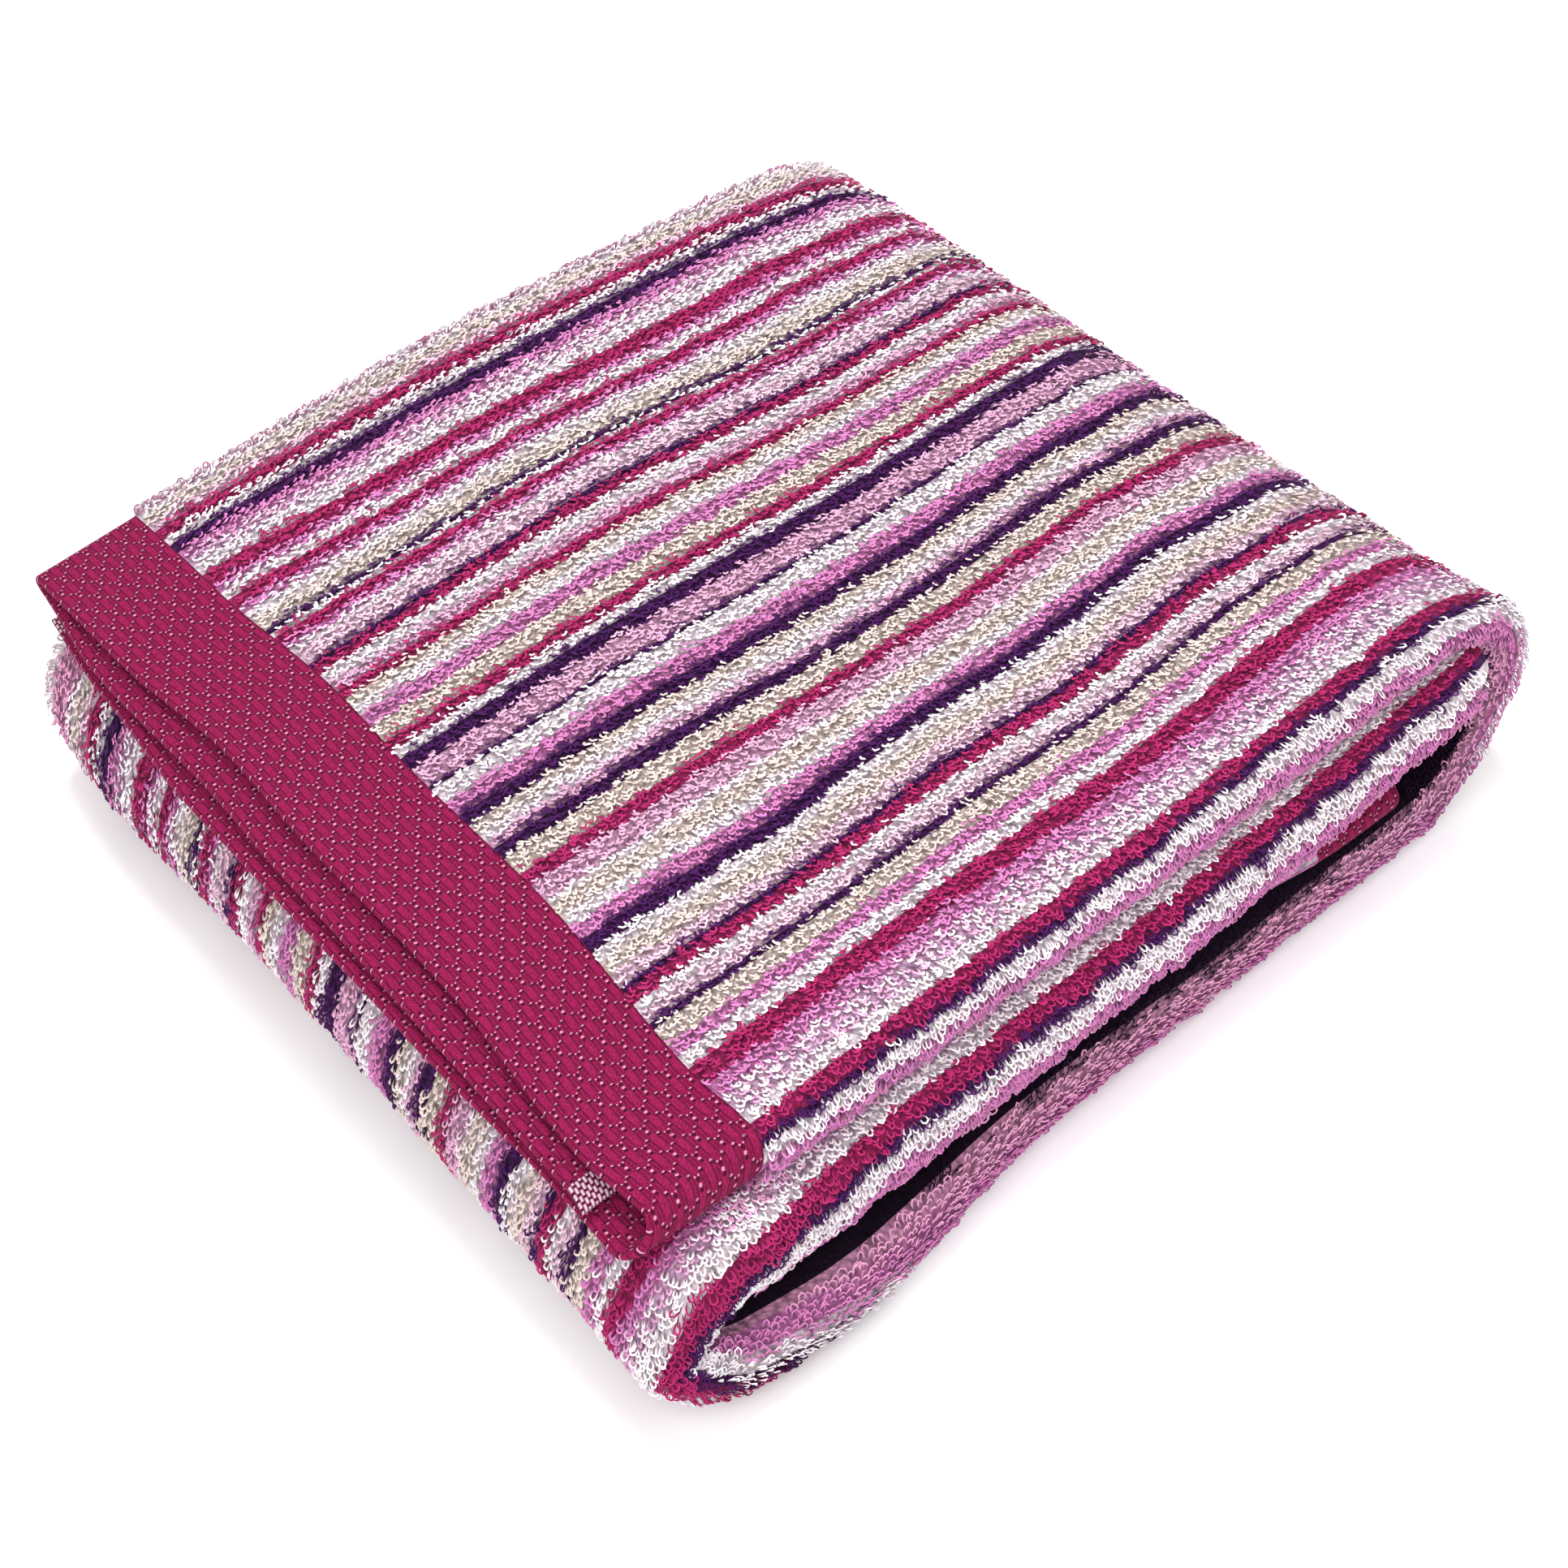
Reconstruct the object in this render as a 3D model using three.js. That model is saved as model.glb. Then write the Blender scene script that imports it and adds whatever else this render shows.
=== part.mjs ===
// A bath sheet of striped terry cloth, folded and lying on a surface.
//
// Millimetres, +Z up. The stripes run along X and the folded width along Y. The end with the woven
// border on top lies towards -X, the side of the stacked soft folds towards -Y, and the sheet rests
// on z = 0 with its origin under the middle of its bounding box.
//
// The sheet is folded twice. Its width is folded in three first: one third lies on top, one is
// folded under it at the back and one is folded under both at the front. That strip, three layers
// thick, is then rolled up flat in its length: over the top, round the right end, back along the
// bottom, round the left end, and three more times to and fro inside. So the whole sheet is one
// closed body: a grid of stations across the strip and along it, with a pile face and a back face.
import * as THREE from 'three';

const clothThickness = 5.0; // terry with the loops of both faces, lightly pressed
const borderThickness = 2.6; // the flat woven border and its turned hem
const selvedgeThickness = 1.8; // the two long edges, woven without loops
const layerGap = 0.45; // between the three layers of the strip
const stripGap = 0.6; // between one pass of the strip and the next
const foldedWidth = 314; // along Y, at the folds
const borderWidth = 37; // along the strip, from the hem to the first loops
const hemRound = 1.6; // the length over which the hem's edge is rounded
const selvedgeWidth = 7;
const selvedgeStep = 1.05; // across it, where the cloth thins from its loops to the selvedge
const edgeShare = 0.6; // what is left of the thickness at the very edge of a hem or selvedge
const leftEnd = -168; // the outermost point of the left fold
const rightEnd = 180; // the outermost point of the right fold
const hemInset = 12; // the top layer's hem stands this far in from the left fold
const innerHemX = 118; // where the inner end of the sheet lies
const backSelvedgeInset = 11; // the lowest layer's selvedge, from the back fold
const frontSelvedgeInset = 19; // the middle layer's selvedge, from the front fold

// How far each layer's hem is moved along the strip, because the width isn't folded quite square.
// The layers share their shift at the folds, where the hem runs on from one to the next.
const topHemLine = [
  { y: -157, upper: 0, middle: -3, lower: -4 },
  { y: -116, upper: 0.3, middle: -4, lower: -6 },
  { y: -50, upper: 4.5, middle: -6, lower: -9 },
  { y: 10, upper: 3.2, middle: -6, lower: -10 },
  { y: 55, upper: 5, middle: -4.2, lower: -10 },
  { y: 110, upper: 1, middle: -5, lower: -6 },
  { y: 157, upper: 0, middle: 0, lower: -2 },
];
const innerHemLine = [
  { y: -157, upper: 0, middle: -6, lower: 0 },
  { y: -60, upper: 1, middle: -7, lower: -6 },
  { y: 60, upper: -1, middle: -5, lower: -9 },
  { y: 157, upper: 0, middle: 0, lower: -7 },
];

const stripThickness = 3 * clothThickness + 2 * layerGap;
const levelPitch = stripThickness + stripGap;
const layerPitch = clothThickness + layerGap;

// The passes of the strip, from the top hem inwards. A level counts the passes from the bottom, and
// steps are the stations along one. The insets say how far the front and back folds of a pass stand
// in from the widest outline.
const passes = {
  top: { level: 4, steps: 10, frontInset: 13, backInset: 0 },
  bottom: { level: 0, steps: 8, frontInset: 0, backInset: 3 },
  middle: { level: 3, steps: 10, frontInset: 1, backInset: 4 },
  upperCore: { level: 2, steps: 6, frontInset: 30, backInset: 12 },
  lowerCore: { level: 1, steps: 6, frontInset: 26, backInset: 9 },
};
const innerEndFrontInset = 5; // the inner end comes forward again towards the front folds
const innerEndStart = 0.4; // share of the last pass after which it does so
const innerEndSpan = 0.5;

// Heights of the parting planes between the passes at the front edge, where the folds are fuller
// than the flat middle of the stack.
const frontPartings = [
  { x: -168, bottom: 20, lowerCore: 28, upperCore: 35, middle: 66, top: 80 },
  { x: -110, bottom: 28, lowerCore: 29.5, upperCore: 31, middle: 60, top: 77 },
  { x: 20, bottom: 29, lowerCore: 31, upperCore: 32.5, middle: 58, top: 77 },
  { x: 80, bottom: 25, lowerCore: 34, upperCore: 36, middle: 61, top: 78 },
  { x: 125, bottom: 21, lowerCore: 34, upperCore: 42, middle: 66, top: 80 },
  { x: 180, bottom: 18, lowerCore: 36, upperCore: 54, middle: 73, top: 82 },
];
const frontZone = 36; // the fuller stretch, measured in from the front edge
const backDrop = 1; // how far the stack sinks towards the back folds
const backZone = 40;

// Soft rises and hollows of the top, passed down through the stack and gone at the bottom.
const swells = [
  { x: -10, y: 10, halfX: 150, halfY: 105, rise: 6 },
  { x: -150, y: 5, halfX: 60, halfY: 80, rise: 4 },
  { x: -10, y: 135, halfX: 120, halfY: 45, rise: 5 },
  { x: -60, y: -45, halfX: 60, halfY: 30, rise: 1.8 },
  { x: 60, y: -20, halfX: 45, halfY: 32, rise: -2 },
  { x: 105, y: 45, halfX: 45, halfY: 45, rise: 2 },
  { x: 95, y: -100, halfX: 60, halfY: 30, rise: -3 },
  { x: -20, y: 80, halfX: 55, halfY: 32, rise: 1.5 },
];

// Places where the stack's outline is pushed out or drawn in, by dx and dy.
const pushes = [
  { x: -10, y: 157, z: 76, halfX: 120, halfY: 60, halfZ: 60, dx: 0, dy: 4 },
  { x: -150, y: -157, z: 5, halfX: 50, halfY: 40, halfZ: 20, dx: 0, dy: -3 },
  { x: -100, y: -157, z: 10, halfX: 45, halfY: 30, halfZ: 20, dx: 0, dy: -9 },
  { x: -168, y: 110, z: 12, halfX: 40, halfY: 50, halfZ: 30, dx: -3, dy: 0 },
  { x: -168, y: 157, z: 35, halfX: 40, halfY: 30, halfZ: 40, dx: 3, dy: -2 },
  { x: 180, y: -157, z: 50, halfX: 50, halfY: 110, halfZ: 40, dx: 10, dy: 0 },
  { x: 180, y: -157, z: 10, halfX: 60, halfY: 60, halfZ: 26, dx: -8, dy: 0 },
  { x: 180, y: 157, z: 60, halfX: 50, halfY: 60, halfZ: 60, dx: -2, dy: -3 },
];

// Steps round the big folds of the strip and round the small ones.
const wideFoldSteps = 9;
const tightFoldSteps = 5;
const layerSteps = 6; // across each third of the width
const frontFoldSteps = 5;
const backFoldSteps = 3;

const levelZ = (level) => stripThickness / 2 + level * levelPitch;

const smooth = (t) => {
  const c = Math.min(1, Math.max(0, t));
  return c * c * (3 - 2 * c);
};

const bell = (distance, half) => Math.exp(-((distance / half) ** 2));

// The values of a table at one place, eased between the two rows that it lies between.
function tableAt(table, key, place) {
  let k = 0;
  while (k < table.length - 2 && place > table[k + 1][key]) {
    k += 1;
  }
  const from = table[k];
  const to = table[k + 1];
  const t = smooth((place - from[key]) / (to[key] - from[key]));
  return (name) => THREE.MathUtils.lerp(from[name], to[name], t);
}

function mixInsets(from, to, t) {
  return {
    frontInset: THREE.MathUtils.lerp(from.frontInset, to.frontInset, t),
    backInset: THREE.MathUtils.lerp(from.backInset, to.backInset, t),
  };
}

// The path of the strip, seen from the front: flat passes joined by half rounds. Each station has a
// point of the strip's middle line, the direction that its upper face looks in, its insets, and how
// much the shift of each hem still counts there.
function stripPath() {
  const path = [];
  const { top, bottom, middle, upperCore, lowerCore } = passes;
  const outer = stripThickness / 2;
  const up = Math.PI / 2;

  const rightRadius = (levelZ(top.level) - levelZ(bottom.level)) / 2;
  const leftRadius = (levelZ(middle.level) - levelZ(bottom.level)) / 2;
  const tightRadius = levelPitch / 2;
  const rightX = rightEnd - outer - rightRadius;
  const leftX = leftEnd + outer + leftRadius;
  const innerRightX = rightX + rightRadius - stripThickness - stripGap - tightRadius;
  const innerLeftX = leftX + leftRadius - tightRadius - stripGap - outer + 1;

  const add = (x, z, angle, insets, topHemShare, innerHemShare) => {
    const { frontInset, backInset } = insets;
    const outX = Math.cos(angle);
    const outZ = Math.sin(angle);
    path.push({ x, z, outX, outZ, frontInset, backInset, topHemShare, innerHemShare });
  };

  const fold = (x, fromPass, toPass, startAngle, turn, steps) => {
    const fromZ = levelZ(fromPass.level);
    const toZ = levelZ(toPass.level);
    const radius = Math.abs(fromZ - toZ) / 2;
    const clockwise = turn < 0 ? 1 : -1;
    for (let i = 1; i < steps; i += 1) {
      const t = i / steps;
      const angle = startAngle + turn * Math.PI * t;
      const px = x + clockwise * radius * Math.cos(angle);
      const pz = (fromZ + toZ) / 2 + clockwise * radius * Math.sin(angle);
      add(px, pz, angle, mixInsets(fromPass, toPass, smooth(t)), 0, 0);
    }
  };

  const run = (fromX, toX, pass, angle) => {
    for (let i = 0; i <= pass.steps; i += 1) {
      const x = THREE.MathUtils.lerp(fromX, toX, i / pass.steps);
      add(x, levelZ(pass.level), angle, pass, 0, 0);
    }
  };

  const hemX = leftEnd + hemInset;
  const topRun = rightX - hemX;
  const edge = hemRound / topRun;
  const borderEnd = borderWidth / topRun;
  const hemStations = [0, edge, borderEnd / 2, borderEnd - edge, borderEnd];
  for (let i = 1; i <= top.steps; i += 1) {
    hemStations.push(THREE.MathUtils.lerp(borderEnd, 1, i / top.steps));
  }
  hemStations.forEach((t) => add(hemX + t * topRun, levelZ(top.level), up, top, 1 - t, 0));

  fold(rightX, top, bottom, up, -1, wideFoldSteps);
  run(rightX, leftX, bottom, -up);
  fold(leftX, bottom, middle, -up, -1, wideFoldSteps);
  run(leftX, innerRightX, middle, up);
  fold(innerRightX, middle, upperCore, up, -1, tightFoldSteps);
  run(innerRightX, innerLeftX, upperCore, -up);
  fold(innerLeftX, upperCore, lowerCore, -up, 1, tightFoldSteps);

  const coreRun = innerHemX - innerLeftX;
  const innerBorder = borderWidth / coreRun;
  const innerEdge = hemRound / coreRun;
  const coreStations = [];
  for (let i = 0; i < lowerCore.steps; i += 1) {
    coreStations.push(((1 - innerBorder) * i) / lowerCore.steps);
  }
  coreStations.push(1 - innerBorder, 1 - innerBorder + innerEdge, 1 - innerEdge, 1);
  const innerEnd = { frontInset: innerEndFrontInset, backInset: lowerCore.backInset };
  coreStations.forEach((t) => {
    const forward = smooth((t - innerEndStart) / innerEndSpan);
    const insets = mixInsets(lowerCore, innerEnd, forward);
    add(innerLeftX + t * coreRun, levelZ(lowerCore.level), up, insets, 0, t);
  });
  return path;
}

// The strip's cross-section between its front and back folds: stations of the cloth's middle line
// with the direction that the pile face looks in. It runs from the middle layer's selvedge to the
// back fold, over the upper layer to the front fold, and under to the lower layer's selvedge.
function crossSection(frontY, backY) {
  const line = [];
  const add = (y, n, angle, layer) => {
    line.push({ y, n, outY: Math.cos(angle), outN: Math.sin(angle), layer });
  };
  const down = -Math.PI / 2;
  const up = Math.PI / 2;
  const backRadius = layerPitch / 2;
  const frontRadius = layerPitch;
  const backCentre = backY - backRadius - clothThickness / 2;
  const frontCentre = frontY + frontRadius + clothThickness / 2;

  const flat = (fromY, toY, n, angle, layer, selvedgeAt) => {
    const stops = [];
    for (let i = 0; i <= layerSteps; i += 1) {
      stops.push(THREE.MathUtils.lerp(fromY, toY, i / layerSteps));
    }
    const inward = Math.sign(toY - fromY) * selvedgeWidth;
    const thinning = Math.sign(toY - fromY) * selvedgeStep;
    if (selvedgeAt === 'start') {
      stops.splice(1, 0, fromY + inward - thinning, fromY + inward);
    }
    if (selvedgeAt === 'end') {
      stops.splice(layerSteps, 0, toY - inward, toY - inward + thinning);
    }
    stops.forEach((y) => add(y, n, angle, layer));
  };

  flat(frontY + frontSelvedgeInset, backCentre, 0, down, 'middle', 'start');
  for (let i = 1; i < backFoldSteps; i += 1) {
    const angle = down + (Math.PI * i) / backFoldSteps;
    add(backCentre + backRadius * Math.cos(angle), backRadius * (1 + Math.sin(angle)), angle, 'upper');
  }
  flat(backCentre, frontCentre, layerPitch, up, 'upper', 'none');
  for (let i = 1; i < frontFoldSteps; i += 1) {
    const angle = up + (Math.PI * i) / frontFoldSteps;
    add(frontCentre + frontRadius * Math.cos(angle), frontRadius * Math.sin(angle), angle, 'lower');
  }
  flat(frontCentre, backY - backSelvedgeInset, -layerPitch, down, 'lower', 'end');
  return line;
}

// Half the cloth's thickness: thinner in the borders and along the selvedges.
function halfThickness(i, columns, j, rows) {
  const border = j <= 3 || j >= rows - 3;
  const hem = j === 0 || j === rows - 1;
  const selvedge = i <= 1 || i >= columns - 2;
  const rim = i === 0 || i === columns - 1;
  let thickness = clothThickness;
  if (border) {
    thickness = borderThickness;
  }
  if (selvedge) {
    thickness = selvedgeThickness;
  }
  if (hem || rim) {
    thickness *= edgeShare;
  }
  return thickness / 2;
}

const flatHeights = [0, 1, 2, 3, 4, 5].map((k) => Math.max(0, k * levelPitch - stripGap / 2));

// Moves a point of the evenly folded stack to where the cloth really lies. Each step is smooth and
// keeps the order of the layers, so none of them cross.
function settle(x, y, z) {
  const frontY = -foldedWidth / 2;
  const backY = foldedWidth / 2;
  const at = tableAt(frontPartings, 'x', x);
  const full = [0, at('bottom'), at('lowerCore'), at('upperCore'), at('middle'), at('top')];
  let k = 0;
  while (k < 4 && z > flatHeights[k + 1]) {
    k += 1;
  }
  const part = (z - flatHeights[k]) / (flatHeights[k + 1] - flatHeights[k]);
  const swollen = full[k] + part * (full[k + 1] - full[k]);
  const atFront = smooth(1 - (y - frontY) / frontZone);
  const atBack = smooth(1 - (backY - y) / backZone);
  const share = z / flatHeights[5];
  let height = THREE.MathUtils.lerp(z, swollen, atFront) - backDrop * atBack * share;
  let rise = 0;
  swells.forEach((s) => {
    rise += s.rise * bell(x - s.x, s.halfX) * bell(y - s.y, s.halfY);
  });
  height += rise * share;
  let px = x;
  let py = y;
  pushes.forEach((p) => {
    const amount = bell(x - p.x, p.halfX) * bell(y - p.y, p.halfY) * bell(z - p.z, p.halfZ);
    px += p.dx * amount;
    py += p.dy * amount;
  });
  return new THREE.Vector3(px, py, height);
}

// One point of a face: the cross-section's station carried to the path's station, with the hem's
// shift of its layer, and settled.
function facePoint(at, stop, half) {
  const y = stop.y + half * stop.outY;
  const n = stop.n + half * stop.outN;
  const topShift = tableAt(topHemLine, 'y', y)(stop.layer) * at.topHemShare;
  const innerShift = tableAt(innerHemLine, 'y', y)(stop.layer) * at.innerHemShare;
  return settle(at.x + topShift + innerShift + n * at.outX, y, at.z + n * at.outZ);
}

function bathSheet() {
  const path = stripPath();
  const positions = [];
  const indices = [];
  let columns = 0;
  path.forEach((at, j) => {
    const frontY = -foldedWidth / 2 + at.frontInset;
    const backY = foldedWidth / 2 - at.backInset;
    const line = crossSection(frontY, backY);
    columns = line.length;
    [1, -1].forEach((side) => {
      line.forEach((stop, i) => {
        const p = facePoint(at, stop, side * halfThickness(i, columns, j, path.length));
        positions.push(p.x, p.y, p.z);
      });
    });
  });

  const rows = path.length;
  const pile = (i, j) => j * columns * 2 + i;
  const back = (i, j) => pile(i, j) + columns;
  const quad = (a, b, c, d) => indices.push(a, c, b, a, d, c);
  for (let j = 0; j < rows - 1; j += 1) {
    for (let i = 0; i < columns - 1; i += 1) {
      quad(pile(i, j), pile(i, j + 1), pile(i + 1, j + 1), pile(i + 1, j));
      quad(back(i, j), back(i + 1, j), back(i + 1, j + 1), back(i, j + 1));
    }
    quad(pile(0, j), back(0, j), back(0, j + 1), pile(0, j + 1));
    const e = columns - 1;
    quad(pile(e, j), pile(e, j + 1), back(e, j + 1), back(e, j));
  }
  for (let i = 0; i < columns - 1; i += 1) {
    quad(pile(i, 0), pile(i + 1, 0), back(i + 1, 0), back(i, 0));
    const e = rows - 1;
    quad(pile(i, e), back(i, e), back(i + 1, e), pile(i + 1, e));
  }

  const geometry = new THREE.BufferGeometry();
  geometry.setAttribute('position', new THREE.Float32BufferAttribute(positions, 3));
  geometry.setIndex(indices);
  geometry.computeBoundingBox();
  const middle = geometry.boundingBox.getCenter(new THREE.Vector3());
  geometry.translate(-middle.x, -middle.y, -geometry.boundingBox.min.z);
  geometry.computeVertexNormals();

  const terry = new THREE.MeshStandardMaterial({ color: 0xc98fb4, roughness: 0.95, metalness: 0 });
  const mesh = new THREE.Mesh(geometry, terry);
  mesh.name = 'bath_sheet';
  return mesh;
}

const foldedBathSheet = new THREE.Group();
foldedBathSheet.add(bathSheet());

export default foldedBathSheet;
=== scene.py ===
# A folded bath sheet of striped terry: the woven cloth lying in its folds, the loop pile that
# stands on it, and a plain studio round it. Sizes are in millimetres until a mesh is made.
import bpy
import numpy as np
from mathutils import Matrix, Vector


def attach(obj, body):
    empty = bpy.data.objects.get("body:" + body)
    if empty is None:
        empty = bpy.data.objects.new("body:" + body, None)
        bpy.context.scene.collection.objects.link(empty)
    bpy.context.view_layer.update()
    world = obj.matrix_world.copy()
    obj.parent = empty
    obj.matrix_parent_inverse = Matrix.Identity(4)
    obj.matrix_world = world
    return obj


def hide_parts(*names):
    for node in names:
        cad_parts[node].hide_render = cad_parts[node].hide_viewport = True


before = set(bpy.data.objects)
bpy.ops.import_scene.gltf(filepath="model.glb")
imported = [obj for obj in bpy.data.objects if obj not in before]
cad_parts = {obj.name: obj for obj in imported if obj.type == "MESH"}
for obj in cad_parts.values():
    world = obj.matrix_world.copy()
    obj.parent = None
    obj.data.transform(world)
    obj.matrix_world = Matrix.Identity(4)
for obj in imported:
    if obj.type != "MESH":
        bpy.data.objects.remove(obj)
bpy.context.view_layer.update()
mm = 0.001

# How the cloth lies. A level counts the strip's passes from the bottom, and front and back say how
# far a pass's folds stand in from the widest outline. The front and back zones are how far in the
# settling there reaches, and the middle is the settled stack's, which is moved to the origin.
clothForm = dict(
    thickness=5.0, layerGap=0.45, stripGap=0.6, foldedWidth=314.0, leftEnd=-168.0, rightEnd=180.0,
    hemInset=12.0, innerHemX=127.0, innerFoldInset=1.0, backSelvedgeInset=11.0, frontSelvedgeInset=19.0,
    innerEndFrontInset=2.0, innerEndStart=0.4, innerEndSpan=0.5, firstPlaceAcross=4.35,
    frontZone=36.0, backDrop=1.0, backZone=40.0, middle=(9.3107, -3.2073),
    top=dict(level=4, front=13.0, back=0.0), bottom=dict(level=0, front=0.0, back=3.0),
    middlePass=dict(level=3, front=1.0, back=4.0), upperCore=dict(level=2, front=30.0, back=12.0),
    lowerCore=dict(level=1, front=26.0, back=9.0),
)
# How far each layer's hem is shifted to the right, or to the left if less than nought, at places
# along the folded width.
topHemLine = dict(
    y=(-157, -147, -137, -116, -50, 10, 55, 110, 157), upper=(0, 4.5, 3, 0.3, 4.5, 3.2, 5, 1, 0),
    middle=(-3, -8, -10, -6, -6, -6, -4.2, -5, 0), lower=(-4, -5, -7, -6.5, -9, -10, -10, -6, -2))
innerHemLine = dict(
    y=(-157, -60, 60, 157), upper=(0, 1, -1, 0), middle=(-6, -7, -5, 0), lower=(0, -6, -9, -7))
# Where the passes part along the front: the top of each pass, from the left end to the right.
frontPartings = dict(
    x=(-168, -110, 20, 80, 125, 180), bottom=(20, 28, 29, 25, 21, 18),
    lowerCore=(28, 29.5, 31, 34, 34, 36), upperCore=(35, 31, 32.5, 36, 42, 54),
    middle=(66, 60, 58, 61, 66, 73), top=(80, 77, 77, 78, 80, 82))
# Where the top swells or dips, and where the outline is pushed: places, half widths and amounts.
swells = dict(
    x=(-10, -150, -10, -60, 60, 105, 95, -20), y=(10, 5, 135, -45, -20, 45, -100, 80),
    halfX=(150, 60, 120, 60, 45, 45, 60, 55), halfY=(105, 80, 45, 30, 32, 45, 30, 32),
    rise=(6, 4, 5, 1.8, -2, 2, -3, 1.5))
pushes = dict(
    x=(-10, -150, -100, -168, -168, 180, 180, 180), y=(157, -157, -157, 110, 157, -157, -157, 157),
    z=(76, 5, 10, 12, 35, 50, 10, 60), halfX=(120, 50, 45, 40, 40, 50, 60, 50),
    halfY=(60, 40, 30, 50, 30, 110, 60, 60), halfZ=(60, 20, 20, 30, 40, 40, 26, 60),
    dx=(0, 0, 0, -3, 3, 10, -8, -2), dy=(4, -3, -9, 0, -2, 0, 0, -3))

# The cloth's own build: half its thickness in each zone, how wide the flat zones are and how gently
# they begin, and the stretch that lies on the floor, where the pile is pressed into the thickness.
clothBuild = dict(
    groundHalf=1.5, backHalf=2.5, borderHalf=1.3, selvedgeHalf=0.9, borderWidth=37.0,
    selvedgeWidth=7.0, borderSelvedge=12.0, edgeRound=1.3, edgeShare=0.3,
    borderEase=1.6, borderEaseBefore=0.6, selvedgeEase=1.1,
    floorFrom=380.0, floorTo=690.0, floorEaseAlong=25.0, floorFront=598.0, floorEaseAcross=12.0)

# How finely the cloth is divided: how many steps or stations each pass and each fold of the strip
# has, how many each layer and each fold across it, and the close stops that round a cut edge.
clothGrid = dict(
    border=8, top=44, rightFold=22, bottom=30, leftFold=17, middlePass=34, coreFold=6, upperCore=9,
    lowerCore=14, innerBorder=6, middleLayer=17, backFold=7, upperLayer=41, frontFold=12, lowerLayer=17)
edgeStops = np.array([0, 0.15, 0.5, 1.0, 1.7])


def smooth(t):
    # three t squared less two t cubed, held between 0 and 1
    c = np.clip(t, 0.0, 1.0)
    return c * c * (3 - 2 * c)


def bell(distance, half):
    # e to the power of less the square of the distance in half widths
    return np.exp(-(distance / half) ** 2)


def eased(table, key, name, place):
    # the table's value at a place, eased between the two rows that it lies between
    keys, values = np.asarray(table[key], float), np.asarray(table[name], float)
    k = np.clip(np.searchsorted(keys, place) - 1, 0, len(keys) - 2)
    t = smooth((place - keys[k]) / (keys[k + 1] - keys[k]))
    return values[k] + (values[k + 1] - values[k]) * t


def stripStations(f, b, g):
    # The strip's middle line seen from the front: flat passes joined by half rounds, each station
    # with its outward angle, its insets, what is left of the hems' shift, and the length so far.
    thick = 3 * f["thickness"] + 2 * f["layerGap"]
    pitch, outer, up = thick + f["stripGap"], thick / 2, np.pi / 2
    height = lambda p: thick / 2 + p["level"] * pitch
    passes = ("top", "bottom", "middlePass", "upperCore", "lowerCore")
    top, bottom, middle, upperCore, lowerCore = (f[name] for name in passes)
    rightRadius = (height(top) - height(bottom)) / 2
    leftRadius = (height(middle) - height(bottom)) / 2
    rightX = f["rightEnd"] - outer - rightRadius
    leftX = f["leftEnd"] + outer + leftRadius
    innerRightX = rightX + rightRadius - thick - f["stripGap"] - pitch / 2
    innerLeftX = leftX + leftRadius - pitch / 2 - f["stripGap"] - outer + f["innerFoldInset"]
    parts, length = [], [0.0]

    def flat(fromX, toX, p, angle, stops, hem=0, inner=0, last=None):
        t = stops / stops[-1]
        m = smooth((t - f["innerEndStart"]) / f["innerEndSpan"]) if last else 0 * t
        front = p["front"] + ((last or p["front"]) - p["front"]) * m
        parts.append(np.stack([
            fromX + (toX - fromX) * t, 0 * t + height(p), 0 * t + angle, front, 0 * t + p["back"],
            hem * (1 - t), inner * t, length[0] + stops], 1))
        length[0] += stops[-1]

    def half(x, a, b, start, turn, count):
        t = np.arange(1, count) / count
        radius, angle, m = abs(height(a) - height(b)) / 2, start + turn * np.pi * t, smooth(t)
        way = 1 if turn < 0 else -1
        parts.append(np.stack([
            x + way * radius * np.cos(angle),
            (height(a) + height(b)) / 2 + way * radius * np.sin(angle), angle,
            a["front"] + (b["front"] - a["front"]) * m, a["back"] + (b["back"] - a["back"]) * m,
            0 * t, 0 * t, length[0] + np.pi * radius * t], 1))
        length[0] += np.pi * radius

    even = lambda total, count: np.linspace(0, total, count + 1)
    hemX, border = f["leftEnd"] + f["hemInset"], b["borderWidth"]
    flat(hemX, rightX, top, up, np.r_[
        edgeStops, np.linspace(4.5, border - 2.5, g["border"]), border - 1, border, border + 1,
        np.linspace(border + 5, rightX - hemX, g["top"])], hem=1)
    half(rightX, top, bottom, up, -1, g["rightFold"])
    flat(rightX, leftX, bottom, -up, even(rightX - leftX, g["bottom"]))
    half(leftX, bottom, middle, -up, -1, g["leftFold"])
    flat(leftX, innerRightX, middle, up, even(innerRightX - leftX, g["middlePass"]))
    half(innerRightX, middle, upperCore, up, -1, g["coreFold"])
    flat(innerRightX, innerLeftX, upperCore, -up, even(innerRightX - innerLeftX, g["upperCore"]))
    half(innerLeftX, upperCore, lowerCore, -up, 1, g["coreFold"])
    run = f["innerHemX"] - innerLeftX
    flat(innerLeftX, f["innerHemX"], lowerCore, up, np.r_[
        np.linspace(0, run - border - 1, g["lowerCore"]), run - border, run - border + 1,
        np.linspace(run - border + 3, run - 3, g["innerBorder"]), (run - edgeStops)[::-1]],
         inner=1, last=f["innerEndFrontInset"])
    names = ("x", "z", "angle", "front", "back", "topHem", "innerHem", "v")
    return dict(zip(names, np.concatenate(parts).T))


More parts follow.
